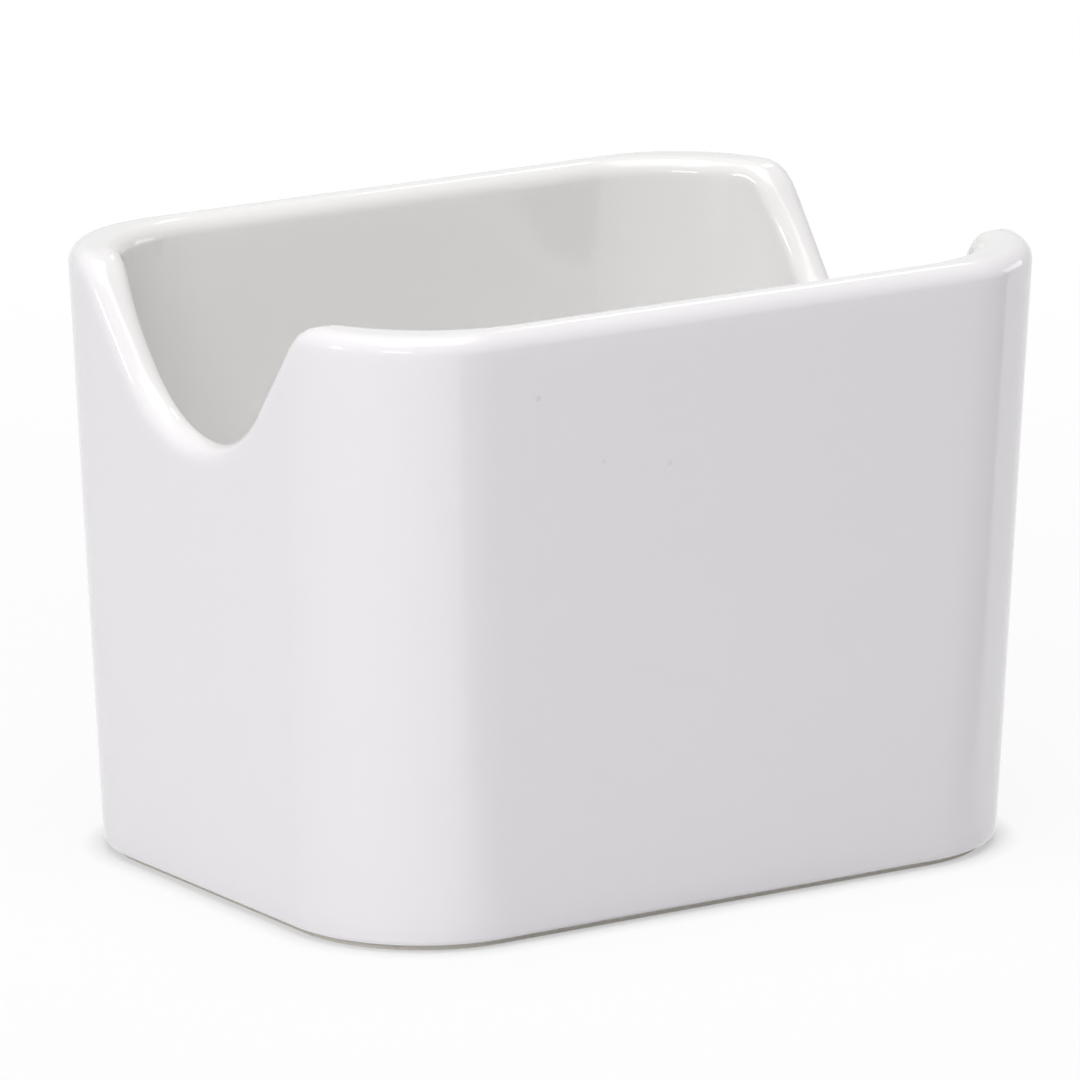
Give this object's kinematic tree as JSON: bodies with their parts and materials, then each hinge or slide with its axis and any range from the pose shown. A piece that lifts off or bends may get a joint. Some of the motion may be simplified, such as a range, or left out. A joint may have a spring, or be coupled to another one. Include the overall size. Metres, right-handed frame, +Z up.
{
  "type": "sugar packet holder",
  "caption": "Open white china caddy with rounded corners and a scooped finger notch in each short end, for sugar packets standing upright on a table.",
  "frame": {"origin": "on the table, under the middle of the caddy", "axes": "+Z up, +X along the caddy from one notched end to the other, +Y across it"},
  "size_m": [0.0916, 0.0704, 0.0664],
  "materials": {
    "bare_china": "matt fired clay, ground flat on the foot ring",
    "white_glaze": "clear gloss glaze over white china"
  },
  "bodies": {
    "root": {"china_body": "bare_china", "glaze_coat": "white_glaze", "underside_glaze": "white_glaze"}
  },
  "joints": []
}
